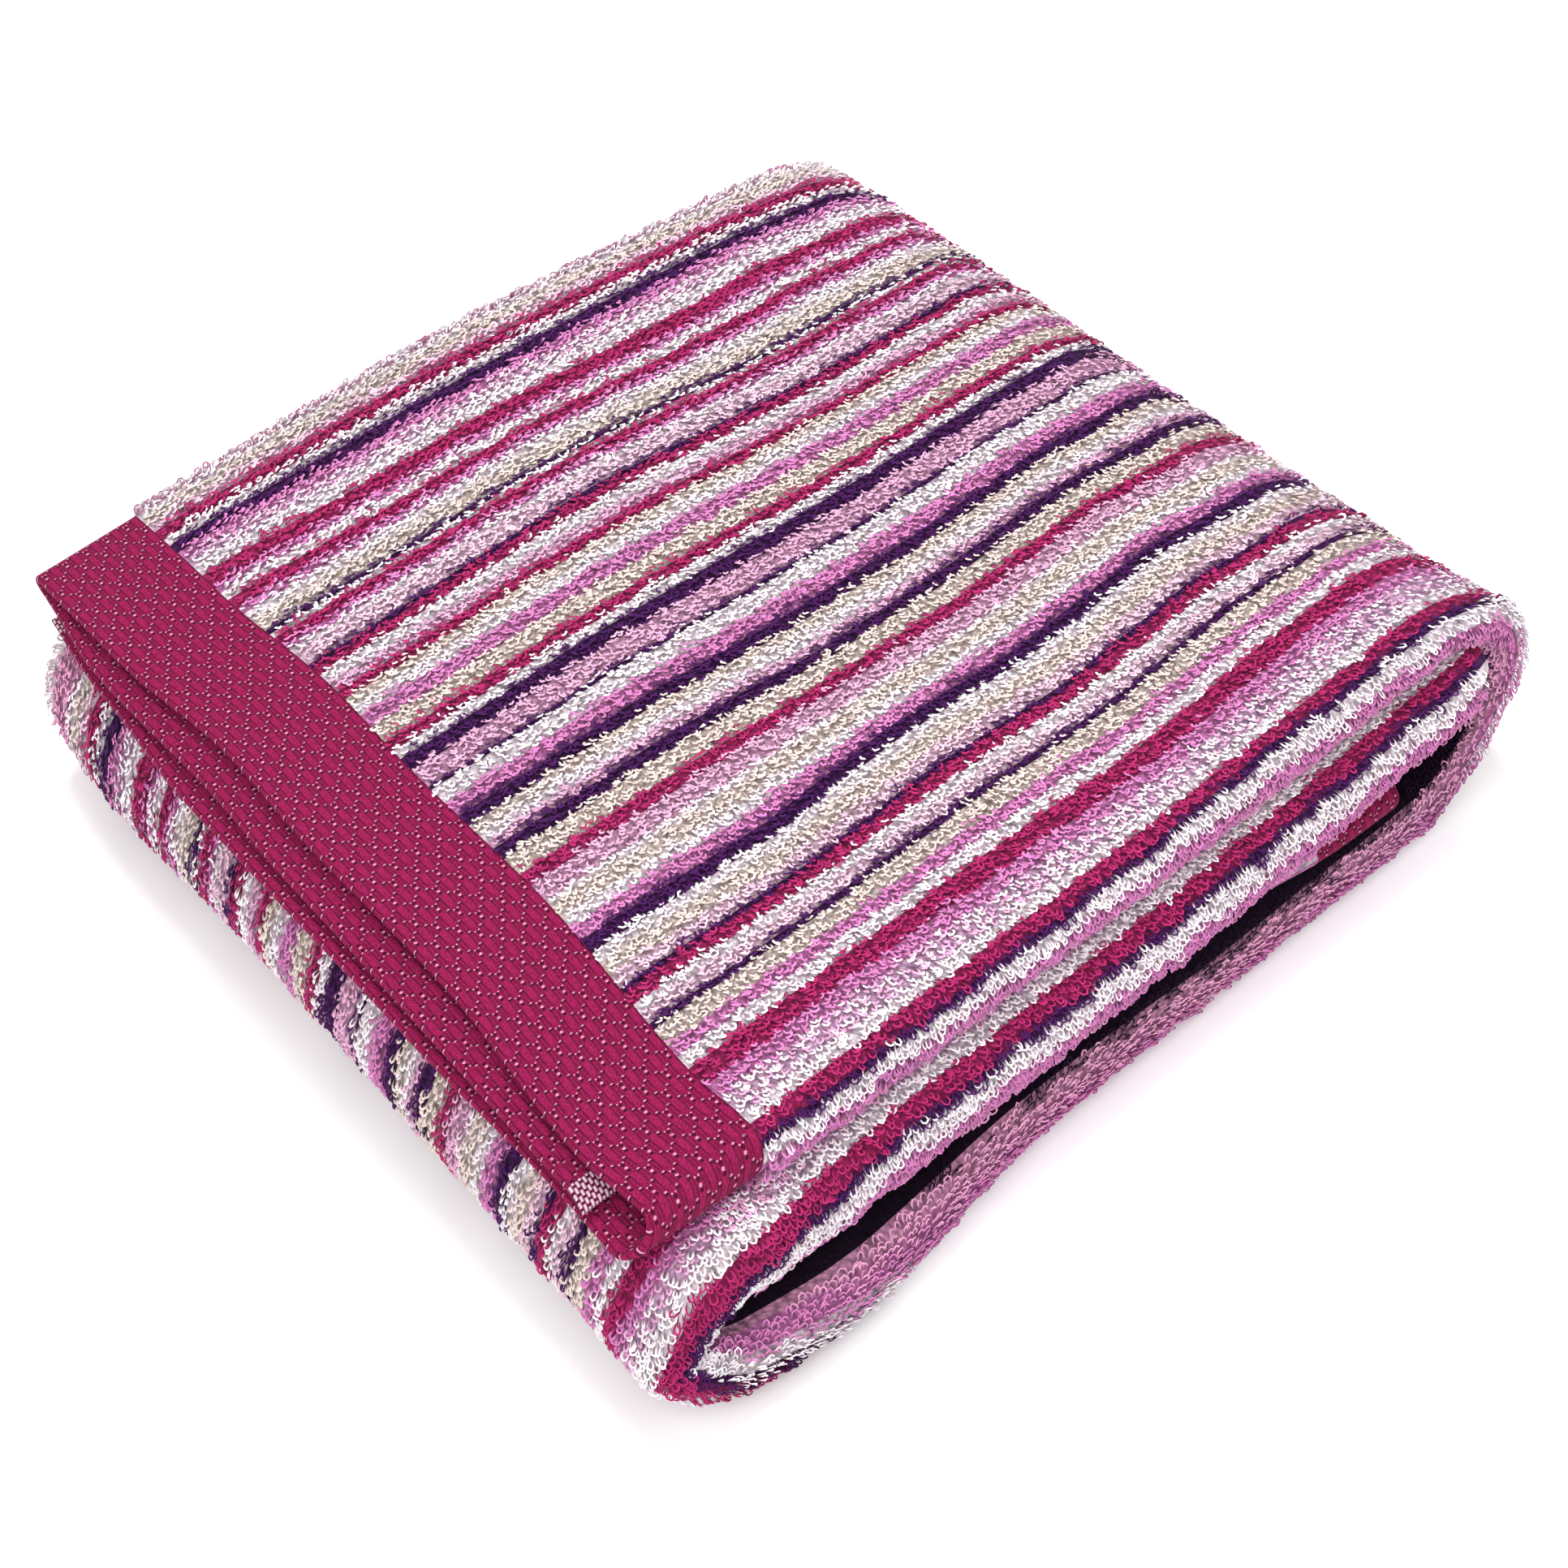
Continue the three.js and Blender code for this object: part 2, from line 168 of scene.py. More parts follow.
def acrossStations(f, b, g):
    # The strip's cross-section, from the middle layer's selvedge round the back fold, over the
    # upper layer and round the front fold to the lower layer's selvedge. A station's y is a share
    # of the front fold's y, a share of the back fold's y and a fixed part.
    layer, width, selvedge = f["thickness"] + f["layerGap"], f["foldedWidth"], b["selvedgeWidth"]
    backRadius, frontRadius, deep = layer / 2, layer, f["thickness"] / 2
    rim = np.r_[edgeStops, 4, selvedge - 1.2, selvedge - 0.6, selvedge, selvedge + 1.5]
    parts, length = [], [f["firstPlaceAcross"]]

    def flat(a, b, stops, n, angle, weights):
        # a and b are the ends' (front share, back share, fixed part)
        t = stops / stops[-1]
        place = [p + (q - p) * t for p, q in zip(a, b)]
        parts.append(np.stack([*place, 0 * t + n, 0 * t + angle, *[0 * t + w for w in weights],
                               length[0] + stops], 1))
        length[0] += stops[-1]

    def half(centre, radius, n, start, weightsA, weightsB, count):
        t = np.arange(1, count) / count
        angle, m = start + np.pi * t, smooth(t)
        parts.append(np.stack([
            0 * t + centre[0], 0 * t + centre[1], centre[2] + radius * np.cos(angle),
            n + radius * np.sin(angle), angle,
            *[p + (q - p) * m for p, q in zip(weightsA, weightsB)], length[0] + np.pi * radius * t], 1))
        length[0] += np.pi * radius

    up = np.pi / 2
    backCentre, frontCentre = (0, 1, -(backRadius + deep)), (1, 0, frontRadius + deep)
    middleRun = width - f["frontSelvedgeInset"] - backRadius - deep
    lowerRun = width - frontRadius - deep - f["backSelvedgeInset"]
    flat((1, 0, f["frontSelvedgeInset"]), backCentre,
         np.r_[rim, np.linspace(18, middleRun, g["middleLayer"])], 0, -up, (1, 0, 0))
    half(backCentre, backRadius, backRadius, -up, (1, 0, 0), (0, 1, 0), g["backFold"])
    upperRun = width - 2 * deep - backRadius - frontRadius
    flat(backCentre, frontCentre, np.linspace(0, upperRun, g["upperLayer"]), layer, up, (0, 1, 0))
    half(frontCentre, frontRadius, 0, up, (0, 1, 0), (0, 0, 1), g["frontFold"])
    flat(frontCentre, (0, 1, -f["backSelvedgeInset"]), np.r_[
        0, 2, 4, 7, 12, np.linspace(20, lowerRun - 18, g["lowerLayer"]), (lowerRun - rim)[::-1]],
         -layer, -up, (0, 0, 1))
    names = ("frontShare", "backShare", "fixed", "n", "angle", "middle", "upper", "lower", "u")
    return dict(zip(names, np.concatenate(parts).T))


def settled(f, x, y, z):
    # The evenly folded stack's points moved to where the cloth lies: the partings between the
    # passes rise and fall along the front, the top swells, and the outline is pushed in places.
    thick = 3 * f["thickness"] + 2 * f["layerGap"]
    even = np.array([0] + [k * (thick + f["stripGap"]) - f["stripGap"] / 2 for k in range(1, 6)])
    names = ("bottom", "lowerCore", "upperCore", "middle", "top")
    full = np.stack([0 * x] + [eased(frontPartings, "x", n, x) for n in names], -1)
    k = np.clip(np.searchsorted(even, z) - 1, 0, 4)
    part = (z - even[k]) / (even[k + 1] - even[k])
    low, high = (np.take_along_axis(full, (k + i)[..., None], -1)[..., 0] for i in (0, 1))
    edge = f["foldedWidth"] / 2
    atFront, atBack = smooth(1 - (y + edge) / f["frontZone"]), smooth(1 - (edge - y) / f["backZone"])
    share = z / even[5]
    height = z + (low + part * (high - low) - z) * atFront - f["backDrop"] * atBack * share
    for sx, sy, hx, hy, rise in zip(*swells.values()):
        height = height + share * rise * bell(x - sx, hx) * bell(y - sy, hy)
    px, py = x, y
    for qx, qy, qz, hx, hy, hz, dx, dy in zip(*pushes.values()):
        amount = bell(x - qx, hx) * bell(y - qy, hy) * bell(z - qz, hz)
        px, py = px + dx * amount, py + dy * amount
    return np.stack([px - f["middle"][0], py - f["middle"][1], height], -1)


def halfThickness(b, strip, across, side):
    # half the cloth's thickness: less under the loops, thin in the borders and the selvedges, and
    # rounded off as a quarter circle at the very edges
    u, v = across["u"][None, :], strip["v"][:, None]
    fromHem, fromSelvedge = np.minimum(v, v[-1] - v), np.minimum(u - u[:, :1], u[:, -1:] - u)
    ground = b["backHalf"] + 0 * fromHem * u
    if side > 0:
        onFloor = (smooth((v - b["floorFrom"]) / b["floorEaseAlong"])
                   * smooth((b["floorTo"] - v) / b["floorEaseAlong"])
                   * smooth((b["floorFront"] - u) / b["floorEaseAcross"]))
        ground = b["groundHalf"] + (b["backHalf"] - b["groundHalf"]) * onFloor
    border = 1 - smooth((fromHem - b["borderWidth"] + b["borderEaseBefore"]) / b["borderEase"])
    half = ground + (b["borderHalf"] - ground) * border
    selvedge = 1 - smooth((fromSelvedge - b["selvedgeWidth"] + b["selvedgeEase"]) / b["selvedgeEase"])
    half = half + (b["selvedgeHalf"] - half) * selvedge
    edge = np.clip(np.minimum(fromHem, fromSelvedge) / b["edgeRound"], 0, 1)
    return side * half * (b["edgeShare"] + (1 - b["edgeShare"]) * np.sqrt(1 - (1 - edge) ** 2))


def clothFace(f, strip, across, half):
    # one face of the cloth: the cross-section's point, moved out by half the thickness, carried
    # to the strip's station, shifted with its layer's hem, and settled
    front = -f["foldedWidth"] / 2 + strip["front"][:, None]
    back = f["foldedWidth"] / 2 - strip["back"][:, None]
    y = across["frontShare"] * front + across["backShare"] * back + across["fixed"]
    y = y + half * np.cos(across["angle"])
    n = across["n"] + half * np.sin(across["angle"])
    shift = 0
    for table, share in ((topHemLine, strip["topHem"]), (innerHemLine, strip["innerHem"])):
        for name in ("middle", "upper", "lower"):
            shift = shift + across[name] * eased(table, "y", name, y) * share[:, None]
    x = strip["x"][:, None] + shift + n * np.cos(strip["angle"])[:, None]
    z = strip["z"][:, None] + n * np.sin(strip["angle"])[:, None]
    return settled(f, x, y, z)


strip = stripStations(clothForm, clothBuild, clothGrid)
across = acrossStations(clothForm, clothBuild, clothGrid)
pileFace = clothFace(clothForm, strip, across, halfThickness(clothBuild, strip, across, 1))
backFace = clothFace(clothForm, strip, across, halfThickness(clothBuild, strip, across, -1))
rows, columns = pileFace.shape[:2]
print("cloth stations:", rows, "along,", columns, "across")

# The stripes across the cloth, charted from the back fold forwards: where each one ends,
# in millimetres from the middle layer's selvedge, and its colour. Beyond the chart they go on in
# mirror, at the back about the crest of the back fold.
yarnColours = dict(  # as a screen shows them, red, green and blue from 0 to 255
    # deep is plum painted near black: painted shade for the stripe where it lies in the valley between
    # the passes
    magenta=(174, 42, 102), plum=(72, 26, 86), deep=(30, 10, 36), bright=(214, 130, 188),
    rose=(226, 160, 196), dusty=(226, 172, 204), pale=(238, 198, 219), white=(253, 238, 246),
    beige=(232, 213, 206))
stripeChart = (
    "301.7 rose 305 white 309.6 beige 313.3 pale 319.2 magenta 323.3 white 328.7 plum 332.5 bright "
    "336.7 mixed 341.8 white 348 magenta 350.9 bright 354.8 white 359.2 magenta 362 bright "
    "366.2 white 371.7 beige 373.9 plum 375.7 white 379.6 magenta 382.5 bright 385 white 390.7 pale "
    "393 plum 397 magenta 402 white 406.2 dusty 410 magenta 414.2 beige 418.8 white 425 bright "
    "432 beige 436.7 magenta 440.8 white 446.7 plum 455.4 dusty 457.3 plum 464.2 white 470.4 bright "
    "475.8 plum 480 beige 484.2 white 487.5 dusty 492.5 plum 500 beige 505 magenta 512.5 dusty "
    "514.4 white 520 beige 523.8 white 528.8 bright 533.8 plum 538 white 543.3 beige 547.5 pale "
    "549.6 plum 553.8 magenta 557.5 white 561.2 pale 563.8 plum 570 beige 574.2 bright 579 white "
    "585.8 magenta 591 bright 598.5 mixed 602.2 white 606.4 magenta 608 plum 611 white 614.5 bright "
    "617.8 rose 630 deep").split()
stripeEnds = np.array(stripeChart[0::2], float)
stripeNames = stripeChart[1::2]
chartEnds = (290.0, 630.0)
backCrest = 295.85
mixedGround = (225, 180, 216)  # what shows between the pink and white lines of a mixed stripe

# How ragged the stripes are: how far their edges wander and a loop strays, how far apart the lines
# of a mixed stripe lie, and how the loops differ in brightness.
stripeEdges = dict(
    wander=0.45, wanderAlong=6.1, wanderAcross=3.7, ripple=0.35, rippleAlong=2.9, rippleAcross=9.1,
    ripplePhase=1.3, stray=0.25, mixedPitch=2.4, brightness=0.09, brightnessLimits=(0.7, 1.25))

# How far the stripes have drifted across the folded cloth, because it isn't folded quite square:
# a row for each place across, a column for each length along the strip.
driftAlong = (0, 50, 100, 150, 200, 230, 260, 290, 345, 400, 500, 600, 650, 700, 745, 800, 1040)
driftAcross = (302, 326, 345, 394, 444, 490, 531, 590, 604, 612, 621)
stripeDrift = (
    (0, 0, 0, 0, 0, 0, 0, 0, 0, 0, 0, 0, 5, 14, 14, 2.5, 2.5),
    (-3, -3, 0.6, 1, 0, -0.6, -1.4, 1, 0, -3, -3, -3, 6, 15, 15, 2.5, 2.5),
    (-2, -2, 1, 1.5, 2.6, 2, 0, 2, 0, -3, -3, -3, 6, 15, 15, 2.5, 2.5),
    (2, 2, 0.6, 0, 4, 7, 7, 6.6, 3, -3, -3, -3, 8, 18.5, 18.5, 2.5, 2.5),
    (2.4, 2.4, 0.4, 2, 3.2, 2.8, 2.4, 2, 0, -3, -3, -3, 8, 19, 19, 2.5, 2.5),
    (0, 0, 0, 4, 2.4, 0.4, -1, 2, 0, -3, -3, -3, 8, 19, 19, 2.5, 2.5),
    (-0.6, -0.6, 2, -2, -0.2, -2.6, -5.2, -1.6, -2, -3, -3, -3, 5, 12, 12, 2, 0),
    (0.6, 0.6, 0, 1, 1.4, -1, -3.6, -5, -4, -4, -5, -4, 4, 11, 10, 0, -2),
    (0, 0, 0, 0, -1, -2.5, -2.5, -3, -3, -4, -7, -5, 1, 5.5, 5, 0.5, -2),
    (0, 0, 0, 0, -0.5, -0.5, -0.5, -0.5, 0, -1, -2.5, -1, 2.5, 6.5, 6, 1, 0),
    (2, 2, 2, 2, 2, 2, 2, 2, 1, 1, -1, 2, 4, 9, 8, 2, 2),
)


def between(grid, rowKeys, columnKeys, row, column):
    # a grid's values at any places: the four neighbours, weighted by how near they are
    i = np.clip(np.searchsorted(rowKeys, row) - 1, 0, len(rowKeys) - 2)
    j = np.clip(np.searchsorted(columnKeys, column) - 1, 0, len(columnKeys) - 2)
    s = np.clip((row - rowKeys[i]) / (rowKeys[i + 1] - rowKeys[i]), 0, 1)
    t = np.clip((column - columnKeys[j]) / (columnKeys[j + 1] - columnKeys[j]), 0, 1)
    if grid.ndim == 3:
        s, t = s[..., None], t[..., None]
    return ((1 - s) * ((1 - t) * grid[i, j] + t * grid[i, j + 1])
            + s * ((1 - t) * grid[i + 1, j] + t * grid[i + 1, j + 1]))


def stripePlace(u, v):
    # where a point lies among the stripes: its place across, less the drift there
    return u - between(np.array(stripeDrift, float), np.array(driftAcross, float),
                       np.array(driftAlong, float), u, v)


def onChart(place):
    # folds a place beyond either end of the chart back into it, so the stripes go on in mirror
    low, high = chartEnds
    place = np.where(place > high, 2 * high - place, place)
    return np.where(place < low, 2 * backCrest - place, place)


def linear(colour):
    # a screen colour as light: the standard curve's inverse
    c = np.asarray(colour, float) / 255
    return np.where(c < 0.04045, c / 12.92, ((c + 0.055) / 1.055) ** 2.4)


def newMesh(name, points, faces):
    # a smooth-shaded mesh of the points, in millimetres, and of faces that all have as many corners
    mesh = bpy.data.meshes.new(name)
    mesh.vertices.add(len(points))
    mesh.vertices.foreach_set("co", (points * mm).astype(np.float32).ravel())
    sides = faces.shape[1]
    mesh.loops.add(faces.size)
    mesh.loops.foreach_set("vertex_index", faces.astype(np.int32).ravel())
    mesh.polygons.add(len(faces))
    mesh.polygons.foreach_set("loop_start", (np.arange(len(faces)) * sides).astype(np.int32))
    mesh.polygons.foreach_set("use_smooth", np.full(len(faces), True))
    mesh.update(calc_edges=True)
    piece = bpy.data.objects.new(name, mesh)
    bpy.context.scene.collection.objects.link(piece)
    return piece


def clothPiece():
    # both faces of the cloth as grids, closed along the four edges by one more row of faces
    points = np.stack([pileFace, backFace], 1).reshape(-1, 3)
    index = np.arange(rows * 2 * columns).reshape(rows, 2, columns)
    pile, back = index[:, 0], index[:, 1]
    quads = lambda a, b, c, d: np.stack([a, b, c, d], -1).reshape(-1, 4)
    faces = np.concatenate([
        quads(pile[:-1, :-1], pile[:-1, 1:], pile[1:, 1:], pile[1:, :-1]),
        quads(back[:-1, :-1], back[1:, :-1], back[1:, 1:], back[:-1, 1:]),
        quads(pile[:-1, 0], pile[1:, 0], back[1:, 0], back[:-1, 0]),
        quads(pile[:-1, -1], back[:-1, -1], back[1:, -1], pile[1:, -1]),
        quads(pile[0, :-1], back[0, :-1], back[0, 1:], pile[0, 1:]),
        quads(pile[-1, :-1], pile[-1, 1:], back[-1, 1:], back[-1, :-1])])
    piece = newMesh("terryCloth", points, faces)
    u, v = (np.broadcast_to(place, (rows, 2, columns)).ravel()
            for place in (across["u"], strip["v"][:, None, None]))
    for name, place in (("cloth", u), ("stripes", stripePlace(u, v))):
        uv = np.stack([place, v], 1)[faces.ravel()] * mm
        layer = piece.data.uv_layers.new(name=name)
        layer.data.foreach_set("uv", uv.astype(np.float32).ravel())
    # each face takes the finish of the zone that its middle lies in
    faceU, faceV = u[faces].mean(1), v[faces].mean(1)
    fromHem = np.minimum(faceV, v.max() - faceV)
    fromSelvedge = np.minimum(faceU - u.min(), u.max() - faceU)
    zone = np.where(fromHem < clothBuild["borderWidth"], 1, 0)
    selvedge = np.where(zone == 1, clothBuild["borderSelvedge"], clothBuild["selvedgeWidth"])
    zone = np.where(fromSelvedge < selvedge, 2, zone)
    piece.data.polygons.foreach_set("material_index", zone.astype(np.int32))
    return piece


sheetCloth = clothPiece()
print("cloth:", len(sheetCloth.data.polygons) * 2, "triangles")

# The loops: their size, unevenness and lean, in millimetres and degrees. On the front fold they are
# multiplied by the fold's values. Tufts stand higher and waves lean aside, patch by patch.
loopForm = dict(
    width=1.55, length=2.45, height=1.6, yarn=0.34, uneven=0.18, yarnUneven=0.08,
    sizeLimits=(0.6, 1.5), strayAcross=0.22, strayAlong=0.2, foldFrom=600.0, foldEase=8.0,
    foldWidth=1.22, foldLength=1.2, foldHeight=1.25, foldYarn=0.8, foldLean=0.55, foldRoll=0.6,
    leanSpread=24.0, leanWave=13.0, waveLength=23.0, rollSpread=16.0, tuft=0.16, tuftLength=11.0,
    gravity=0.8, offFloor=0.15, tipAhead=1.7, borderLean=25.0, borderReach=2.4, seed=41)
# The stretches of cloth that they stand on: along from, to; across from, to; pitch along, across.
loopStretches = dict(
    topPileBack=((37.8, 296, 296, 403, 1.6, 1.95),),
    topPileMiddle=((37.8, 296, 403, 503, 1.6, 1.95),),
    topPileFront=((37.8, 296, 503, 603.5, 1.6, 1.95),),
    frontPile=((37.8, 399, 603.5, 623, 1.6, 1.95), (399, 600, 602, 617, 1.6, 1.95),
               (600, 751, 602, 618.5, 1.6, 1.95), (751, 870, 590, 617.5, 1.6, 1.95),
               (870, 1034, 590, 615, 1.6, 1.95)),
    leftPile=((673, 760, 302.7, 603.5, 1.6, 2.0),),
    rightPile=((296, 399, 302.7, 603.5, 2.05, 2.5), (296, 399, 623, 633, 2.0, 2.2)),
    backPile=((37.8, 296, 289, 296, 1.9, 2.4), (296, 1034, 290, 302.7, 1.9, 2.4),
              (1034, 1566, 295, 302.7, 2.2, 2.5)),
)
leanTable = dict(u=(300, 345, 380, 430, 630), degrees=(-28, -24, 0, 14, 12))  # how they lean aside
# How bright each of a loop's fifteen points is painted, from its feet to its tip and back, and where it
# lies in the loop's own cell of the map. The brightness is painted shade and light: dark at the feet
# and legs, where shade falls among the loops, and lighter on the crests of the tip, where light falls.
loopPaintedShade = np.array([0.2] + [0.7] * 2 + [0.94, 1.08, 0.94] * 3 + [0.7] * 2 + [0.2])
loopCell = np.array([
    (0.5, 0.08), (0.2, 0.22), (0.8, 0.22),
    *[(a, b) for b in (0.36, 0.5, 0.64) for a in (0.2, 0.5, 0.8)],
    (0.2, 0.78), (0.8, 0.78), (0.5, 0.92)])


def unit(a):
    # each vector divided by its length
    return a / np.maximum(np.linalg.norm(a, axis=-1, keepdims=True), 1e-9)


def surfaceFrames():
    # the pile face's unit direction across and its outward normal at every station, from the
    # differences between neighbouring stations and their cross product
    alongDirection, acrossDirection = np.gradient(pileFace, axis=0), np.gradient(pileFace, axis=1)
    return unit(acrossDirection), unit(np.cross(acrossDirection, alongDirection))


forwardGrid, normalGrid = surfaceFrames()


def footPlaces(stretch, rng):
    # rows of loops at even steps along, and in each row at even true lengths across, every other
    # row half a step on; the true length is summed along the row and turned round by interpolation
    fromV, toV, fromU, toU, stepV, stepU = stretch
    v = np.arange(fromV, toV, stepV) + stepV / 2
    u = np.r_[fromU, across["u"][(across["u"] > fromU) & (across["u"] < toU)], toU]
    line = between(pileFace, strip["v"], across["u"], *np.broadcast_arrays(v[:, None], u[None, :]))
    steps = np.linalg.norm(np.diff(line, axis=1), axis=-1)
    length = np.concatenate([np.zeros((len(v), 1)), np.cumsum(steps, 1)], 1)
    count = int(length[:, -1].max() / stepU) + 1
    target = (np.arange(count)[None, :] + 0.25 + 0.5 * (np.arange(len(v)) % 2)[:, None]) * stepU
    apart = 1000.0 * np.arange(len(v))[:, None]
    place = np.interp((target + apart).ravel(), (length + apart).ravel(), np.tile(u, len(v)))
    place = place.reshape(target.shape)
    keep = target < length[:, -1:]
    row, column = np.nonzero(keep)
    u = np.clip(place[keep] + rng.normal(0, loopForm["strayAcross"], len(row)), fromU, toU)
    return u, v[row] + rng.normal(0, loopForm["strayAlong"], len(row)), row, column


def waves(u, v, length, rng):
    # soft unevenness between about -1 and 1: five sine waves in chance directions, added up
    total = 0
    for k in range(5):
        turn, phase, stretch = rng.uniform(0, np.pi), rng.uniform(0, 2 * np.pi), rng.uniform(0.7, 1.6)
        ahead = u * np.cos(turn) + v * np.sin(turn)
        total = total + np.sin(2 * np.pi * ahead / (length * stretch) + phase)
    return total / 2.2


def loopPoints(u, v, rng):
    # A loop is a hairpin leaning forward. Its middle line has seven points, given below as shares
    # of its width sideways, its length forwards and its height outwards. It is one point wide at
    # its feet, two on its legs, and has a left, a ridge and a right point three times at its tip.
    side = np.array([-0.2, -0.49, -0.46, 0.0, 0.46, 0.49, 0.2])
    ahead = np.array([0.0, 0.42, 0.78, 1.0, 0.78, 0.42, 0.0])
    out = np.array([-0.15, 0.72, 1.0, 1.04, 0.97, 0.68, -0.15])
    f, count = loopForm, len(u)
    onFold = smooth((u - f["foldFrom"]) / f["foldEase"])
    folded = lambda share: 1 + (share - 1) * onFold
    size = lambda value, spread: value * np.clip(rng.normal(1, spread, count), *f["sizeLimits"])
    width = size(f["width"], f["uneven"]) * folded(f["foldWidth"])
    yarn = size(f["yarn"], f["yarnUneven"]) * folded(f["foldYarn"])
    length = size(f["length"], f["uneven"]) * folded(f["foldLength"])
    height = size(f["height"], f["uneven"]) * folded(f["foldHeight"])
    height = height * (1 + f["tuft"] * waves(u, v, f["tuftLength"], rng))
    foot, normal, forward = (between(grid, strip["v"], across["u"], v, u)
                             for grid in (pileFace, normalGrid, forwardGrid))
    normal = unit(normal)
    # on steep cloth the loops hang
    steep = 1 - np.clip(normal[:, 2:], 0, 1)
    forward = forward + f["gravity"] * steep * np.array([0, 0, -1.0])
    forward = unit(forward - normal * (forward * normal).sum(1, keepdims=True))
    sideways = np.cross(normal, forward)
    lean = eased(leanTable, "u", "degrees", u)
    lean = lean + rng.normal(0, 1, count) * f["leanSpread"] * folded(f["foldLean"])
    lean = lean + f["leanWave"] * waves(u, v, f["waveLength"], rng)
    byBorder = 1 - smooth((v - clothBuild["borderWidth"]) / f["borderReach"])
    lean = np.radians(lean + f["borderLean"] * byBorder * rng.random(count))[:, None]
    roll = np.radians(rng.normal(0, 1, count) * f["rollSpread"] * folded(f["foldRoll"]))[:, None]
    ahead1 = forward * np.cos(lean) - sideways * np.sin(lean)
    across1 = sideways * np.cos(lean) + forward * np.sin(lean)
    across1, up1 = (across1 * np.cos(roll) + normal * np.sin(roll),
                    normal * np.cos(roll) - across1 * np.sin(roll))
    line = (foot[:, None, :]
            + across1[:, None, :] * (side * width[:, None])[..., None]
            + ahead1[:, None, :] * (ahead * length[:, None])[..., None]
            + up1[:, None, :] * (out * height[:, None])[..., None])
    ridge = unit(up1 * length[:, None] - ahead1 * height[:, None])[:, None, :]
    tangent = unit(line[:, 2:] - line[:, :-2])
    beside = unit(np.cross(tangent, np.broadcast_to(ridge, tangent.shape)))
    r = yarn[:, None, None]
    inner = line[:, 1:-1]
    left, right = inner - beside * r - ridge * r * 0.5, inner + beside * r - ridge * r * 0.5
    crest = inner + ridge * r * 0.8
    points = [line[:, 0], left[:, 0], right[:, 0]]
    for k in (1, 2, 3):
        points += [left[:, k], crest[:, k], right[:, k]]
    points += [left[:, 4], right[:, 4], line[:, -1]]
    points = np.stack(points, 1)
    points[..., 2] = np.maximum(points[..., 2], f["offFloor"])
    return points


# one loop's triangles: one at each foot, three where a leg meets the tip, four between its parts
loopFaces = np.array(
    [(0, 2, 1), (1, 2, 4), (1, 4, 3), (2, 5, 4)]
    + [t for k in (3, 6) for t in
       ((k, k + 1, k + 4), (k, k + 4, k + 3), (k + 1, k + 2, k + 5), (k + 1, k + 5, k + 4))]
    + [(9, 10, 12), (10, 11, 13), (10, 13, 12), (12, 13, 14)])


def loopColours(u, v, rng):
    # each loop's yarn, from the stripe that its tip lies in, with two sine waves and a little
    # chance added to the place, and the colour made brighter or darker by chance
    e = stripeEdges
    wander = (e["wander"] * np.sin(v / e["wanderAlong"] + u / e["wanderAcross"])
              + e["ripple"] * np.sin(v / e["rippleAlong"] + u / e["rippleAcross"] + e["ripplePhase"]))
    place = stripePlace(u + loopForm["tipAhead"], v) + wander
    place = onChart(place + rng.normal(0, e["stray"], len(u)))
    stripe = np.clip(np.searchsorted(stripeEnds, place), 0, len(stripeEnds) - 1)
    table = {name: linear(value) for name, value in yarnColours.items()}
    table["mixed"] = (table["bright"] + table["pale"]) / 2
    colours = np.array([table[name] for name in stripeNames])[stripe]
    mixed = np.array([name == "mixed" for name in stripeNames])[stripe]
    mixed = mixed & ((place / e["mixedPitch"]) % 1 < 0.5)
    colours = np.where(mixed[:, None], table["white"], colours)
    return colours * np.clip(rng.normal(1, e["brightness"], (len(u), 1)), *e["brightnessLimits"])


def pilePiece(name, stretches, material, seed):
    # one mesh of all the loops on the stretches, with their colours, painted shade and light included,
    # and a map that gives every loop its own small cell, in the order in which they stand
    rng = np.random.default_rng(seed)
    parts, rowsBefore = [], 0
    for stretch in stretches:
        u, v, row, column = footPlaces(stretch, rng)
        parts.append(np.stack([u, v, column, row + rowsBefore]))
        rowsBefore += row.max() + 1
    u, v, *cells = np.concatenate(parts, 1)
    cells = np.stack(cells, 1)
    points = loopPoints(u, v, rng)
    faces = (np.arange(len(u))[:, None, None] * len(loopPaintedShade) + loopFaces[None]).reshape(-1, 3)
    piece = newMesh(name, points.reshape(-1, 3), faces)
    # the stripe colours times each point's painted shade and light, dark at the feet, light at the
    # crests
    colours = np.minimum(loopColours(u, v, rng)[:, None, :] * loopPaintedShade[None, :, None], 1.0)
    colours = np.concatenate([colours, np.ones_like(colours[..., :1])], -1)
    layer = piece.data.color_attributes.new("yarnColourWithPaintedShade", "FLOAT_COLOR", "POINT")
    layer.data.foreach_set("color", colours.astype(np.float32).ravel())
    uv = (cells[:, None, :] + loopCell[None]) / (cells.max() + 1)
    uv = uv.reshape(-1, 2)[faces.ravel()]
    piece.data.uv_layers.new(name="OFBake").data.foreach_set("uv", uv.astype(np.float32).ravel())
    piece.data.materials.append(material)
    print(name + ":", len(u), "loops,", len(faces), "triangles")
    return piece


# Materials. A group holds what several of them share; each material keeps its own shader.
def feed(tree, value, socket):
    # a number or a colour set on the socket, or another node's output linked to it
    if isinstance(value, (int, float, tuple)):
        socket.default_value = value
    else:
        tree.links.new(value, socket)


def maths(tree):
    # gives functions that add a step of arithmetic on numbers or sockets to the tree: any step by
    # its name, then a plus b, a less b, a times b and a over b
    def step(operation, *values):
        node = tree.nodes.new("ShaderNodeMath")
        node.operation = operation
        for socket, value in zip(node.inputs, values):
            feed(tree, value, socket)
        return node.outputs[0]

    def named(operation):
        return lambda a, b: step(operation, a, b)

    return step, *[named(way) for way in ("ADD", "SUBTRACT", "MULTIPLY", "DIVIDE")]


